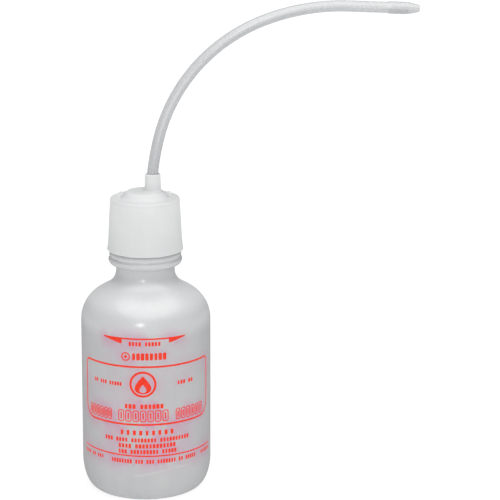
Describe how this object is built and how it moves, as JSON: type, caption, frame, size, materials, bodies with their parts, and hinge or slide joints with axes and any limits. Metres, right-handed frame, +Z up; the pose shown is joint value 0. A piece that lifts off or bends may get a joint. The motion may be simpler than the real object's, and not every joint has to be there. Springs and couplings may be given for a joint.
{
  "type": "wash bottle",
  "caption": "Translucent squeeze wash bottle with a white screw cap, an arched delivery tube with a metal-lined tip, and a dip tube inside.",
  "frame": {"origin": "centre of the base, on the plane that the bottle stands on", "axes": "+Z up along the bottle and cap axis, +X towards the outlet of the delivery tube"},
  "size_m": [0.2029, 0.079, 0.3],
  "materials": {
    "bottle_wall": "natural translucent low-density polyethylene, softly glossy",
    "cap_plastic": "opaque white polyethylene, fine satin",
    "liner_foam": "closed-cell polyethylene foam",
    "tubing": "natural translucent polyethylene tubing",
    "steel": "stainless steel"
  },
  "bodies": {
    "bottle": {"bottle": "bottle_wall"},
    "seal": {"cap_liner": "liner_foam"},
    "cap": {"screw_cap": "cap_plastic", "dip_tube": "tubing"},
    "spout": {"delivery_tube": "tubing", "arrester_sleeve": "steel", "arrester_screens": "steel"}
  },
  "joints": [
    {"name": "cap_lift", "type": "slide", "parent": "bottle", "child": "seal", "axis": [0, 0, 1], "range_m": [0, 0.00635]},
    {"name": "cap_turn", "type": "hinge", "parent": "seal", "child": "cap", "pos_m": [0, 0, 0.165], "axis": [0, 0, 1], "range_deg": [0, 540]},
    {"name": "spout_swivel", "type": "hinge", "parent": "cap", "child": "spout", "pos_m": [0.0048, 0, 0.19], "axis": [0, 0, 1], "continuous": true}
  ],
  "couplings": [
    {"joint": "cap_turn", "follows": "cap_lift", "rad_per_m": 1484.2}
  ]
}
